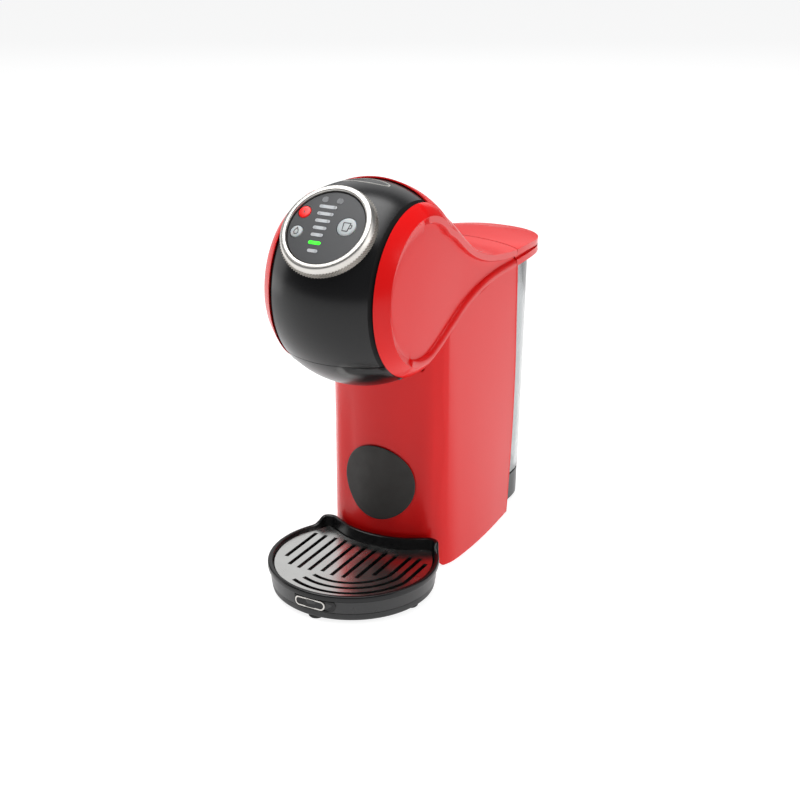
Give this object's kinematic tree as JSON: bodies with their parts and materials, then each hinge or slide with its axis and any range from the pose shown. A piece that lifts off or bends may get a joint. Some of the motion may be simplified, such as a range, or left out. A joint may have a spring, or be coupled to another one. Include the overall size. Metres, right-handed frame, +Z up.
{
  "type": "pod coffee machine",
  "caption": "Compact pod coffee machine: round head with a dial and lifting mask over a slim column, drip tray in front, clear water tank behind.",
  "frame": {"origin": "middle of the footprint, on the surface the machine stands on", "axes": "+Z up, -Y towards the user (the front), +X to the machine's left as it faces the user"},
  "size_m": [0.1144, 0.2878, 0.2742],
  "materials": {
    "red_gloss": "high gloss",
    "black_gloss": "piano black",
    "black_plastic": "satin",
    "grey_plastic": "satin",
    "disc_grey": "satin",
    "panel_grey": "satin",
    "button_grey": "satin",
    "button_red": "semi-gloss",
    "chrome": "satin chrome",
    "steel": "turned",
    "aluminium": "cast",
    "brass": "turned",
    "clear": "clear, slightly smoky",
    "rubber": "matte",
    "silicone": "matte",
    "board_green": "satin"
  },
  "bodies": {
    "machine": {"upper_housing": "red_gloss", "column_shell": "red_gloss", "column_disc": "disc_grey", "axle_pin_left": "steel", "axle_pin_right": "steel", "holder_guide": "black_plastic", "brew_head": "black_plastic", "brew_hose": "silicone", "pump_hose": "silicone", "suction_hose": "silicone", "chassis": "grey_plastic", "pump": "steel", "pump_mount_lower": "rubber", "pump_mount_upper": "rubber", "thermoblock": "aluminium", "power_board": "board_green", "flow_meter": "grey_plastic", "rear_wall": "black_plastic", "housing_screw_1": "steel", "housing_screw_2": "steel", "housing_screw_3": "steel", "housing_screw_4": "steel", "mains_inlet": "rubber", "base_plate": "black_plastic", "base_screw_1": "steel", "base_screw_2": "steel", "base_screw_3": "steel", "base_screw_4": "steel", "foot_front": "rubber", "foot_left": "rubber", "foot_right": "rubber", "foot_rear_left": "rubber", "foot_rear_right": "rubber", "tank_base": "black_plastic", "socket_seal": "rubber"},
    "handle": {"handle_mask": "black_gloss", "control_panel": "panel_grey", "handle_frame": "black_plastic", "panel_board": "board_green", "button_pad": "silicone"},
    "ring": {"selector_ring": "chrome"},
    "hot_key": {"hot_button": "button_red"},
    "cold_key": {"cold_button": "button_grey"},
    "size_key": {"size_button": "button_grey"},
    "injector": {"injector_needle": "steel", "injector_seal": "silicone"},
    "holder": {"capsule_holder": "black_gloss", "holder_nozzle": "steel"},
    "tray": {"drip_tray": "black_gloss", "tray_badge": "black_gloss"},
    "grid": {"drip_grid": "chrome"},
    "tank": {"water_tank": "clear", "tank_valve": "grey_plastic"},
    "poppet": {"valve_poppet": "brass"},
    "lid": {"tank_lid": "red_gloss"}
  },
  "joints": [
    {"name": "handle_lift", "type": "hinge", "parent": "machine", "child": "handle", "pos_m": [0, -0.0685, 0.2064], "axis": [-1, 0, 0], "range_deg": [0, 33]},
    {"name": "ring_turn", "type": "hinge", "parent": "handle", "child": "ring", "pos_m": [0, -0.11078, 0.24897], "axis": [0, -0.7046, 0.7096], "continuous": true},
    {"name": "hot_press", "type": "slide", "parent": "handle", "child": "hot_key", "axis": [0, 0.7046, -0.7096], "range_m": [0, 0.0008], "stiffness_N_per_m": 500},
    {"name": "cold_press", "type": "slide", "parent": "handle", "child": "cold_key", "axis": [0, 0.7046, -0.7096], "range_m": [0, 0.0008], "stiffness_N_per_m": 500},
    {"name": "size_press", "type": "slide", "parent": "handle", "child": "size_key", "axis": [0, 0.7046, -0.7096], "range_m": [0, 0.0008], "stiffness_N_per_m": 500},
    {"name": "injector_rise", "type": "slide", "parent": "machine", "child": "injector", "axis": [0, 0, 1], "range_m": [0, 0.006]},
    {"name": "holder_pull", "type": "slide", "parent": "machine", "child": "holder", "axis": [0, -1, 0], "range_m": [0, 0.075]},
    {"name": "tray_pull", "type": "slide", "parent": "machine", "child": "tray", "axis": [0, -1, 0], "range_m": [0, 0.09]},
    {"name": "grid_lift", "type": "slide", "parent": "tray", "child": "grid", "axis": [0, 0, 1], "range_m": [0, 0.06]},
    {"name": "tank_lift", "type": "slide", "parent": "machine", "child": "tank", "axis": [0, 0, 1], "range_m": [0, 0.06]},
    {"name": "poppet_rise", "type": "slide", "parent": "tank", "child": "poppet", "axis": [0, 0, 1], "range_m": [0, 0.002], "stiffness_N_per_m": 150},
    {"name": "lid_lift", "type": "slide", "parent": "tank", "child": "lid", "axis": [0, 0, 1], "range_m": [0, 0.03]}
  ],
  "couplings": [
    {"joint": "injector_rise", "follows": "handle_lift", "m_per_rad": 0.0104}
  ]
}
